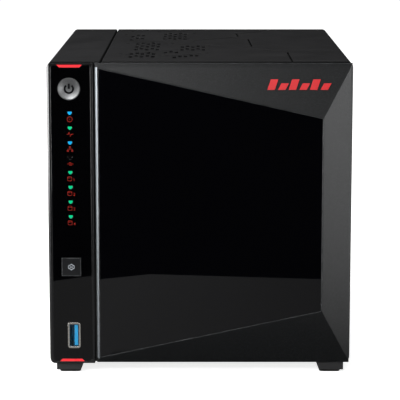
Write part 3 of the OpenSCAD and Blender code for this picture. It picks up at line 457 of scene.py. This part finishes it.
# Case shells: two folded steel covers in dark grey textured paint that meet at a bevelled seam
# across the top and the bottom. The paint is fine and slightly satin, with dust in its dimples.
dust_tree, dust_in, dust_out = node_group("settled_dust", {"Amount": "value"}, {"Dust": "value"})
dust_face = add_node(dust_tree, "NewGeometry")
dust_up = add_node(dust_tree, "SeparateXYZ", None, {0: dust_face.outputs["Normal"]})
dust_top = level(dust_tree, dust_up.outputs["Z"], 0.0, 1.0, 0.6, 1.0)
dust_at = add_node(dust_tree, "TexCoord")
motes = add_node(dust_tree, "TexNoise", None, {
    "Vector": dust_at.outputs["Object"], "Scale": 55.0, "Detail": 8.0, "Roughness": 0.75})
mote_mask = level(dust_tree, motes.outputs["Fac"], 0.2, 1.0, 0.42, 0.68)
dust_here = combine(dust_tree, "MULTIPLY", dust_top, mote_mask)
dust_sum = combine(dust_tree, "MULTIPLY", dust_here, dust_in.outputs["Amount"])
dust_tree.links.new(dust_sum, dust_out.inputs["Dust"])


DUST_COLOUR = (0.2, 0.2, 0.2, 1)
SLOT_PAINTED_SHADE = (0.0006, 0.0006, 0.0006, 1)
SLOT_REACH = 0.003


def dusted(material, amount):
    """Lays thin dust on the faces that look up, over a finish that is already made."""
    tree = material.node_tree
    shader = tree.nodes["Principled BSDF"]
    under = shader.inputs["Base Color"].links[0].from_socket
    film = place_group(tree, dust_tree, {"Amount": amount})
    tree.links.new(blend_colour(tree, film.outputs["Dust"], under, DUST_COLOUR),
                   shader.inputs["Base Color"])
    return material


# Painted shade: an ambient occlusion mask turns the narrow slots and grooves black and fully
# metallic, so they stay dark.
pit_tree, pit_in, pit_out = node_group(
    "painted_slot_shade", {"Colour": "colour", "Reach": "value"}, {"Colour": "colour", "Metallic": "value"})
pit_open = add_node(pit_tree, "AmbientOcclusion", {"samples": 8, "only_local": True}, {
    "Distance": pit_in.outputs["Reach"]})
painted_shade_mask = level(pit_tree, pit_open.outputs["AO"], 1.0, 0.0, 0.35, 0.75)
pit_tree.links.new(
    blend_colour(pit_tree, painted_shade_mask, pit_in.outputs["Colour"], SLOT_PAINTED_SHADE),
    pit_out.inputs["Colour"])
pit_tree.links.new(painted_shade_mask, pit_out.inputs["Metallic"])


def painted_shade_in_slots(material, reach):
    """Paints shade on the walls of slots and grooves, over a finish that is made."""
    tree = material.node_tree
    shader = tree.nodes["Principled BSDF"]
    under = shader.inputs["Base Color"].links[0].from_socket
    shade = place_group(tree, pit_tree, {"Colour": under, "Reach": reach})
    tree.links.new(shade.outputs["Colour"], shader.inputs["Base Color"])
    tree.links.new(shade.outputs["Metallic"], shader.inputs["Metallic"])
    return material


# The shells' slots and grooves get painted shade.
shell_paint = painted_shade_in_slots(dusted(grained(
    "shell_paint", (0.010, 0.010, 0.011), 0.46, grains=2600.0, depth=0.00002, edge=0.0006,
    wear_and_highlight=0.3, wear_and_highlight_colour=(0.07, 0.075, 0.08), ior=1.4), 0.05), SLOT_REACH)
dress(shell_paint, "left_shell", "right_shell")

# Front bezel: a moulded plate with the raised status column on its left. Mould texture on the
# plate; the column carries a polished black panel and a red accent at each end.
bezel_plastic = grained("bezel_plastic", (0.004, 0.004, 0.0045), 0.24, grains=2200.0,
                        depth=0.000008, gloss_drift=0.03, edge=0.0005)
smudge_tree, smudge_in, smudge_out = node_group(
    "finger_marks", {"Roughness": "value", "Marks": "value"},
    {"Roughness": "value", "Height": "value"})
smudge_at = add_node(smudge_tree, "TexCoord")
patches = add_node(smudge_tree, "TexNoise", None, {
    "Vector": smudge_at.outputs["Object"], "Scale": 28.0, "Detail": 4.0, "Distortion": 1.2})
swirls = add_node(smudge_tree, "TexNoise", None, {
    "Vector": smudge_at.outputs["Object"], "Scale": 420.0, "Detail": 2.0})
patch_mask = level(smudge_tree, patches.outputs["Fac"], 0.0, 1.0, 0.55, 0.75)
swirl_mask = level(smudge_tree, swirls.outputs["Fac"], 0.4, 1.0, 0.3, 0.7)
marks = combine(smudge_tree, "MULTIPLY", patch_mask, swirl_mask)
mark_here = combine(smudge_tree, "MULTIPLY", marks, smudge_in.outputs["Marks"])
mark_rough = combine(smudge_tree, "ADD", mark_here, smudge_in.outputs["Roughness"])
smudge_tree.links.new(mark_rough, smudge_out.inputs["Roughness"])
smudge_tree.links.new(marks, smudge_out.inputs["Height"])


def polished(name, colour, rough=0.02, marks=0.05, edge=0.0, ior=1.5):
    """A polished black moulding with faint finger marks that only change its gloss."""
    material, tree, shader = base_material(name, ior=ior)
    film = place_group(tree, smudge_tree, {"Roughness": rough, "Marks": marks})
    skin = place_group(tree, grain_tree, {
        "Colour": (*colour, 1), "Tone Drift": 0.05, "Roughness": rough, "Gloss Drift": 0.0,
        "Grains per Metre": 300.0})
    bump = add_node(tree, "Bump", None, {
        "Height": film.outputs["Height"], "Distance": 0.0000008})
    if edge:
        rim = place_group(tree, edge_tree, {"Radius": edge, "Wear and Highlight": 0.0})
        tree.links.new(rim.outputs["Normal"], bump.inputs["Normal"])
    tree.links.new(skin.outputs["Colour"], shader.inputs["Base Color"])
    tree.links.new(film.outputs["Roughness"], shader.inputs["Roughness"])
    tree.links.new(bump.outputs[0], shader.inputs["Normal"])
    return material


gloss_black = polished("gloss_black", (0.0006, 0.0006, 0.0008), edge=0.0003, ior=1.42)
accent_red = grained("accent_red", (0.86, 0.02, 0.03), 0.3, grains=900.0, depth=0.00001,
                     edge=0.0002)
dress(bezel_plastic, "front_bezel")
dress(gloss_black, "column_panel")
dress(accent_red, "red_accents")

# Status lights: clear lenses over coloured lamps on the front board, each lens's glow mottled
# between a deeper and a brighter tint. The lens of the lamp that is off is smoked.


def lamp_lens(name, colour, rim_colour, strength):
    material, tree, shader = base_material(name)
    lens_at = add_node(tree, "TexCoord")
    haze = add_node(tree, "TexNoise", None, {
        "Vector": lens_at.outputs["Object"], "Scale": 1800.0, "Detail": 2.0})
    glow = blend_colour(tree, haze.outputs["Fac"], (*rim_colour, 1), (*colour, 1))
    rough = level(tree, haze.outputs["Fac"], 0.12, 0.3)
    clear = add_node(tree, "VectorMath", {"operation": "SCALE"}, {0: glow, "Scale": 0.12})
    tree.links.new(clear.outputs[0], shader.inputs["Base Color"])
    tree.links.new(glow, shader.inputs["Emission Color"])
    tree.links.new(rough, shader.inputs["Roughness"])
    shader.inputs["Emission Strength"].default_value = strength
    return material


lamp_blue = lamp_lens("lamp_blue", (0.008, 0.55, 0.97), (0.004, 0.36, 0.8), 0.85)
lamp_green = lamp_lens("lamp_green", (0.0, 0.76, 0.33), (0.0, 0.5, 0.2), 0.85)
dress(lamp_blue, "blue_led_lenses")
dress(lamp_green, "green_led_lenses")
smoked_lens = polished("smoked_lens", (0.0012, 0.0013, 0.0018), rough=0.08)
dress(smoked_lens, "unlit_led_lens")

# Buttons: the power button is turned metal with a dished, ring-brushed face. The backup button
# is a square dark grey cap with a satin face.
brush_tree, brush_in, brush_out = node_group(
    "ring_brushing", {"Colour": "colour", "Roughness": "value", "Rings per Metre": "value",
                      "Centre": "vector"},
    {"Colour": "colour", "Roughness": "value", "Height": "value"})
brush_at = add_node(brush_tree, "TexCoord")
brush_from = add_node(brush_tree, "VectorMath", {"operation": "SUBTRACT"}, {
    0: brush_at.outputs["Object"], 1: brush_in.outputs["Centre"]})
brush_flat = add_node(brush_tree, "VectorMath", {"operation": "MULTIPLY"}, {
    0: brush_from.outputs[0], 1: (1, 0, 1)})
brush_r = add_node(brush_tree, "VectorMath", {"operation": "LENGTH"}, {0: brush_flat.outputs[0]})
brush_scale = combine(brush_tree, "MULTIPLY", brush_r.outputs["Value"],
                      brush_in.outputs["Rings per Metre"])
brush_rings = add_node(brush_tree, "TexNoise", {"noise_dimensions": "1D"}, {
    "W": brush_scale, "Scale": 1.0, "Detail": 3.0})
brush_rough = add_node(brush_tree, "Math", {"operation": "MULTIPLY_ADD"}, {
    0: brush_rings.outputs["Fac"], 1: 0.14, 2: brush_in.outputs["Roughness"]})
brush_tone = level(brush_tree, brush_rings.outputs["Fac"], 0.7, 1.25, 0.3, 0.7)
brush_tint = add_node(brush_tree, "VectorMath", {"operation": "SCALE"}, {
    0: brush_in.outputs["Colour"], "Scale": brush_tone})
brush_tree.links.new(brush_tint.outputs[0], brush_out.inputs["Colour"])
brush_tree.links.new(brush_rough.outputs[0], brush_out.inputs["Roughness"])
brush_tree.links.new(brush_rings.outputs["Fac"], brush_out.inputs["Height"])


def ring_brushed(name, colour, centre, rough=0.3):
    material, tree, shader = base_material(name, metallic=1.0)
    turned = place_group(tree, brush_tree, {
        "Colour": (*colour, 1), "Roughness": rough, "Rings per Metre": 5000.0, "Centre": centre})
    bump = add_node(tree, "Bump", None, {
        "Height": turned.outputs["Height"], "Distance": 0.000012})
    tree.links.new(turned.outputs["Colour"], shader.inputs["Base Color"])
    tree.links.new(turned.outputs["Roughness"], shader.inputs["Roughness"])
    tree.links.new(bump.outputs[0], shader.inputs["Normal"])
    return material


power_metal = ring_brushed("power_metal", (0.30, 0.305, 0.31), middle("power_button"), 0.3)
# The backup cap's edges are painted pale grey, a painted highlight on top of light rubbing.
backup_cap = grained("backup_cap", (0.0045, 0.005, 0.006), 0.3, grains=1800.0, edge=0.0006,
                     wear_and_highlight=0.9, wear_and_highlight_colour=(0.22, 0.23, 0.24))
magnet_nickel = grained("magnet_nickel", (0.6, 0.6, 0.6), 0.2, metallic=1.0, grains=500.0,
                        depth=0.000003, edge=0.0003, wear_and_highlight=0.3, wear_and_highlight_colour=(0.8, 0.8, 0.8))
dress(power_metal, "power_button")
dress(backup_cap, "backup_button")
dress(magnet_nickel, "bezel_magnets", "door_magnets")

# Printed symbols: dark red ink on the column panel, one under each status light, a black ring and
# bar on the power button and a pale mark on the backup button. Each is a raised film of ink; the
# red and the pale ink are given a painted glow.
MM = 0.001
PRINT_SINK = 0.00002
PRINT_THICK = 0.00006
ICON_DROP = 0.0035
ICON_LINE = 0.00013
ICON_RING_R = 0.00145
DISK_HALF_W = 0.00115
DISK_HALF_H = 0.00125
DIGIT_SHIFT = 0.0021


def stroke(shape, points, width, face, closed=False):
    """A flat stroke of ink along points in X and Z; face gives the Y of the surface under it."""
    line = [Vector(point) for point in points]
    count = len(line)
    rims = []
    for i, here in enumerate(line):
        before = line[(i - 1) % count] if closed or i else None
        after = line[(i + 1) % count] if closed or i < count - 1 else None
        along_in = (here - before).normalized() if before is not None else None
        along_out = (after - here).normalized() if after is not None else None
        along = (along_in or along_out) + (along_out or along_in)
        along.normalize()
        side = Vector((-along.y, along.x))
        facing = along_out or along_in
        stretch = min(1 / max(abs(side.dot(Vector((-facing.y, facing.x)))), 0.4), 2.0)
        reach = side * width / 2 * stretch
        corners = [here + reach, here - reach]
        rims.append([shape.verts.new((spot.x, face(spot.x, spot.y) + depth, spot.y))
                     for depth in (-PRINT_THICK, PRINT_SINK) for spot in corners])
    steps = count if closed else count - 1
    for i in range(steps):
        rim, following = rims[i], rims[(i + 1) % count]
        for first, second in ((0, 1), (1, 3), (3, 2), (2, 0)):
            shape.faces.new((rim[first], rim[second], following[second], following[first]))
    if not closed:
        for rim in (rims[0], rims[-1]):
            shape.faces.new((rim[0], rim[1], rim[3], rim[2]))


def arc(centre, radius_x, radius_z, start, end, steps=24):
    """Points of an arc in X and Z, with its angles in degrees from +X towards +Z."""
    turns = [math.radians(start + (end - start) * i / steps) for i in range(steps + 1)]
    return [(centre[0] + radius_x * math.cos(t), centre[1] + radius_z * math.sin(t))
            for t in turns]


def shifted(points, x, z):
    """Points drawn in millimetres, moved to a place on the object."""
    return [(x + px * MM, z + pz * MM) for px, pz in points]


def flat_face(y):
    return lambda x, z: y


panel_front = flat_face(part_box("column_panel")[0].y)
light_x = middle("unlit_led_lens").x
light_pitch = (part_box("unlit_led_lens")[0].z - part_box("green_led_lenses")[0].z) / 4
icon_z = [middle("unlit_led_lens").z + (3 - i) * light_pitch - ICON_DROP for i in range(8)]

ink_tree, ink_in, ink_out = node_group(
    "screen_print", {"Ink": "colour", "Thin": "colour"}, {"Colour": "colour", "Height": "value"})
ink_at = add_node(ink_tree, "TexCoord")
ink_grain = add_node(ink_tree, "TexNoise", None, {
    "Vector": ink_at.outputs["Object"], "Scale": 5000.0, "Detail": 3.0})
ink_tree.links.new(
    blend_colour(ink_tree, ink_grain.outputs["Fac"], ink_in.outputs["Ink"],
                 ink_in.outputs["Thin"]), ink_out.inputs["Colour"])
ink_tree.links.new(ink_grain.outputs["Fac"], ink_out.inputs["Height"])


def printed_ink(name, ink, thin, glow=0.0, rough=0.45, ior=1.5):
    material, tree, shader = base_material(name, ior=ior)
    film = place_group(tree, ink_tree, {"Ink": (*ink, 1), "Thin": (*thin, 1)})
    bump = add_node(tree, "Bump", None, {"Height": film.outputs["Height"], "Distance": 0.00001})
    tree.links.new(film.outputs["Colour"], shader.inputs["Base Color"])
    tree.links.new(bump.outputs[0], shader.inputs["Normal"])
    shader.inputs["Roughness"].default_value = rough
    # A painted glow: the ink itself gives off light.
    if glow:
        tree.links.new(film.outputs["Colour"], shader.inputs["Emission Color"])
        shader.inputs["Emission Strength"].default_value = glow
    return material


red_ink_painted_glow = printed_ink("red_ink_painted_glow", (0.42, 0.022, 0.012), (0.3, 0.016, 0.010), glow=0.55, rough=0.6,
                      ior=1.3)
dark_ink = printed_ink("dark_ink", (0.002, 0.002, 0.003), (0.004, 0.004, 0.005), rough=0.85,
                       ior=1.18)
pale_ink_painted_glow = printed_ink("pale_ink_painted_glow", (0.42, 0.46, 0.50), (0.34, 0.37, 0.41), glow=0.2)


def power_icon(shape):
    x, z = light_x, icon_z[0]
    stroke(shape, arc((x, z), ICON_RING_R, ICON_RING_R, 0, 345, 23), ICON_LINE, panel_front,
           closed=True)
    stroke(shape, shifted([(0.15, 0.32), (-0.15, -0.32)], x, z), ICON_LINE, panel_front)


def pulse_icon(shape):
    beat = [(-1.8, 0), (-0.9, 0), (-0.4, 1.1), (0.3, -1.2), (0.8, 0), (1.8, 0)]
    stroke(shape, shifted(beat, light_x, icon_z[1]), ICON_LINE, panel_front)


def network_icon(shape):
    x, z = light_x, icon_z[2]
    for px, pz in ((0, 1.15), (-1.25, -1.1), (1.25, -1.1)):
        block = [(px - 0.4, pz - 0.35), (px + 0.4, pz - 0.35), (px + 0.4, pz + 0.35),
                 (px - 0.4, pz + 0.35)]
        stroke(shape, shifted(block, x, z), ICON_LINE * 0.8, panel_front, closed=True)
    stroke(shape, shifted([(0, 0.7), (0, 0.12)], x, z), ICON_LINE * 0.8, panel_front)
    fork = [(-1.25, -0.65), (-1.25, 0), (1.25, 0), (1.25, -0.65)]
    stroke(shape, shifted(fork, x, z), ICON_LINE * 0.8, panel_front)


def link_icon(shape):
    x, z = light_x, icon_z[3]
    stroke(shape, shifted([(-1.8, 0), (-0.95, 0), (-0.35, 0.75), (0.6, 0.75)], x, z),
           ICON_LINE * 0.8, panel_front)
    stroke(shape, shifted([(-0.85, -0.3), (-0.35, -0.75), (1.0, -0.75)], x, z),
           ICON_LINE * 0.8, panel_front)
    stroke(shape, shifted([(-0.55, 0), (1.8, 0)], x, z), ICON_LINE * 0.8, panel_front)


DIGITS = {
    1: [[(-0.3, 0.45), (0, 0.75), (0, -0.75)]],
    2: [[(-0.4, 0.5), (-0.1, 0.75), (0.35, 0.55), (0.3, 0.15), (-0.4, -0.72), (0.42, -0.72)]],
    3: [[(-0.4, 0.72), (0.35, 0.72), (-0.05, 0.12), (0.38, -0.25), (0.1, -0.72), (-0.4, -0.6)]],
    4: [[(0.2, -0.75), (0.2, 0.75), (-0.42, -0.28), (0.45, -0.28)]],
}


def disk_icon(digit):
    """A drive drawn as a drum, with its bay's number beside it."""
    def draw(shape):
        x, z = light_x - 0.0004, icon_z[3 + digit]
        rim = DISK_HALF_W * 0.36
        top, bottom = z + DISK_HALF_H - rim, z - DISK_HALF_H + rim
        stroke(shape, arc((x, top), DISK_HALF_W, rim, 0, 345, 23), ICON_LINE * 0.8, panel_front,
               closed=True)
        wall = [(x - DISK_HALF_W, top), *arc((x, bottom), DISK_HALF_W, rim, 180, 360, 12),
                (x + DISK_HALF_W, top)]
        stroke(shape, wall, ICON_LINE * 0.8, panel_front)
        for line in DIGITS[digit]:
            stroke(shape, shifted(line, light_x + DIGIT_SHIFT, z - 0.0005), ICON_LINE * 0.7,
                   panel_front)
    return draw


mesh_piece("icon_power", power_icon, red_ink_painted_glow, "case")
mesh_piece("icon_pulse", pulse_icon, red_ink_painted_glow, "case")
mesh_piece("icon_network", network_icon, red_ink_painted_glow, "case")
mesh_piece("icon_link", link_icon, red_ink_painted_glow, "case")
for digit in DIGITS:
    mesh_piece(f"icon_drive_{digit}", disk_icon(digit), red_ink_painted_glow, "case")

DISH_R = 0.022
DISH_DEPTH = 0.0008
MARK_PROUD = 0.00012
POWER_RING_R = 0.0024
POWER_LINE = 0.0011
button_mid = middle("power_button")
button_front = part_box("power_button")[0].y


def dish_face(x, z):
    """The power button's hollow face, a shallow part of a sphere."""
    off = (x - button_mid.x) ** 2 + (z - button_mid.z) ** 2
    return button_front + DISH_DEPTH - DISH_R + math.sqrt(DISH_R ** 2 - off) - MARK_PROUD


def power_mark(shape):
    x, z = button_mid.x, button_mid.z
    stroke(shape, arc((x, z), POWER_RING_R, POWER_RING_R, 130, 410, 40), POWER_LINE, dish_face)
    bar = [(x, z + POWER_RING_R * (1.25 - 0.25 * i)) for i in range(6)]
    stroke(shape, bar, POWER_LINE, dish_face)


mesh_piece("power_mark", power_mark, dark_ink, "power_button")

BACKUP_LINE = 0.00028
BACKUP_BAR = 0.00032
backup_mid = middle("backup_button")
backup_front = flat_face(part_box("backup_button")[0].y)


def backup_mark(shape):
    x, z = backup_mid.x, backup_mid.z
    upper = [(-1.9, 0.3), (-1.2, 0.95), (-0.5, 1.2), (0, 1.75), (0.5, 1.2), (1.2, 0.95),
             (1.9, 0.3)]
    lower = [(px, -pz) for px, pz in upper]
    for line, width in ((upper, BACKUP_LINE), (lower, BACKUP_LINE),
                        ([(-1.0, 0), (1.0, 0)], BACKUP_BAR)):
        stroke(shape, shifted(line, x, z), width, backup_front)


mesh_piece("backup_mark", backup_mark, pale_ink_painted_glow, "backup_button")

# Drive trays: moulded frames, each with a lever handle on a steel pin and a press-in latch above
# it. The trays have a satin mould texture, and the handles are smoother.
tray_plastic = grained("tray_plastic", (0.016, 0.016, 0.017), 0.46, grains=1900.0,
                       depth=0.00003, edge=0.0005)
handle_plastic = grained("handle_plastic", (0.024, 0.024, 0.026), 0.38, grains=2400.0,
                         depth=0.00002, edge=0.0006, wear_and_highlight=0.3, wear_and_highlight_colour=(0.08, 0.08, 0.085))
latch_grey = grained("latch_grey", (0.045, 0.046, 0.05), 0.36, grains=1500.0, depth=0.00001,
                    edge=0.0003)
pin_steel = grained("pin_steel", (0.6, 0.6, 0.61), 0.24, metallic=1.0, grains=900.0,
                    depth=0.000004)
for bay in range(1, 5):
    dress(tray_plastic, f"tray_{bay}")
    dress(handle_plastic, f"tray_handle_{bay}")
    dress(latch_grey, f"tray_latch_{bay}")
    dress(pin_steel, f"handle_pin_{bay}")

# Door: a hollow moulded frame with faceted sides, painted in fine dark metal flake, that holds a
# proud pane of polished black plastic. A bright strip of drawn aluminium edges it on the left.
flake_tree, flake_in, flake_out = node_group(
    "metal_flake", {"Colour": "colour", "Flakes": "colour", "Share": "value"},
    {"Colour": "colour", "Roughness": "value", "Height": "value"})
flake_at = add_node(flake_tree, "TexCoord")
flakes = add_node(flake_tree, "TexVoronoi", {"feature": "F1"}, {
    "Vector": flake_at.outputs["Object"], "Scale": 5200.0})
flake_pick = add_node(flake_tree, "SeparateColor", None, {0: flakes.outputs["Color"]})
flake_mask = level(flake_tree, flake_pick.outputs[0], 0.0, 1.0, 0.6, 1.0)
flake_share = combine(flake_tree, "MULTIPLY", flake_mask, flake_in.outputs["Share"])
flake_colour = blend_colour(flake_tree, flake_share, flake_in.outputs["Colour"],
                            flake_in.outputs["Flakes"])
flake_rough = level(flake_tree, flake_pick.outputs[1], 0.30, 0.44)
flake_tree.links.new(flake_colour, flake_out.inputs["Colour"])
flake_tree.links.new(flake_rough, flake_out.inputs["Roughness"])
flake_tree.links.new(flake_pick.outputs[2], flake_out.inputs["Height"])

door_paint, door_tree, door_shader = base_material("door_paint", metallic=0.3, ior=1.38)
door_flake = place_group(door_tree, flake_tree, {
    "Colour": (0.006, 0.0065, 0.007, 1), "Flakes": (0.05, 0.053, 0.056, 1), "Share": 0.35})
# Painted highlight: the frame's rounded edges are blended to a lighter grey, standing in for the
# light they catch.
door_rim_highlight = place_group(door_tree, edge_tree, {"Radius": 0.0006, "Wear and Highlight": 0.7})
door_bump = add_node(door_tree, "Bump", None, {
    "Height": door_flake.outputs["Height"], "Distance": 0.0000015,
    "Normal": door_rim_highlight.outputs["Normal"]})
door_colour = blend_colour(door_tree, door_rim_highlight.outputs["Edge"], door_flake.outputs["Colour"],
                           (0.20, 0.21, 0.22, 1))
door_tree.links.new(door_colour, door_shader.inputs["Base Color"])
door_tree.links.new(door_flake.outputs["Roughness"], door_shader.inputs["Roughness"])
door_tree.links.new(door_bump.outputs[0], door_shader.inputs["Normal"])
door_glass = polished("door_glass", (0.0008, 0.0008, 0.0012), rough=0.015, marks=0.04,
                      edge=0.0003)
trim_bright = grained("trim_bright", (0.225, 0.243, 0.26), 0.40, metallic=1.0, grains=900.0,
                      depth=0.000001, drift=0.03, gloss_drift=0.02)
badge_red = grained("badge_red", (0.50, 0.008, 0.012), 0.34, grains=900.0, depth=0.000008)
dress(door_paint, "door_frame")
dress(door_glass, "door_panel")
dress(trim_bright, "door_edge_trim")
dress(badge_red, "door_badge")
